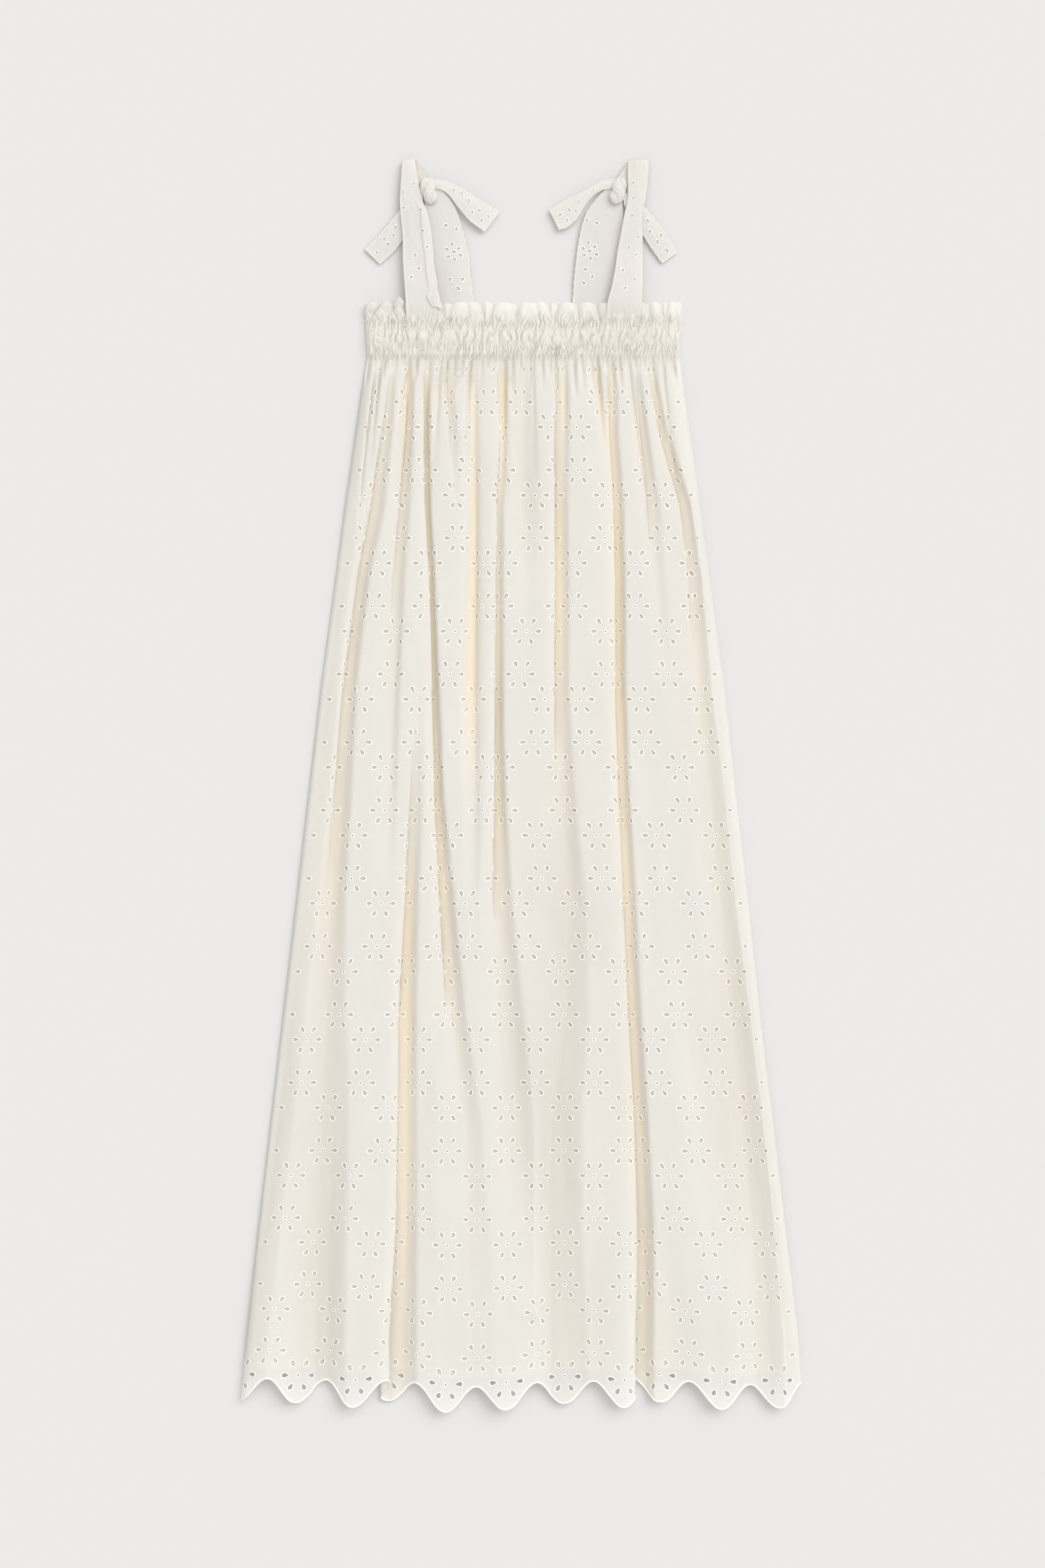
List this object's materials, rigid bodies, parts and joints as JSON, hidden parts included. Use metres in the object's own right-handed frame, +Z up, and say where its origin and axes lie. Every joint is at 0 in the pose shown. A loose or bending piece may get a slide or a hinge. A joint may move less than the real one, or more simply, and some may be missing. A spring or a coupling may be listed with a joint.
{
  "type": "tie-strap midi dress",
  "caption": "Sleeveless eyelet-cloth midi dress laid flat, with knotted tie straps, a frilled shirred top, a gathered skirt and a scalloped hem.",
  "frame": {"origin": "under the middle of the garment's outline, on the surface that it lies on", "axes": "+X to the right as seen from above, +Y towards the straps, +Z up from the surface"},
  "size_m": [0.5382, 1.1958, 0.0156],
  "materials": {
    "eyelet_cotton": "matt woven cotton"
  },
  "bodies": {
    "root": {"front_panel": "eyelet_cotton", "back_panel": "eyelet_cotton", "strap_front_left": "eyelet_cotton", "strap_front_right": "eyelet_cotton", "strap_back_left": "eyelet_cotton", "strap_back_right": "eyelet_cotton", "knot_left": "eyelet_cotton", "knot_right": "eyelet_cotton", "tie_end_inner_left": "eyelet_cotton", "tie_end_inner_right": "eyelet_cotton", "tie_end_outer_left": "eyelet_cotton", "tie_end_outer_right": "eyelet_cotton"}
  },
  "joints": []
}
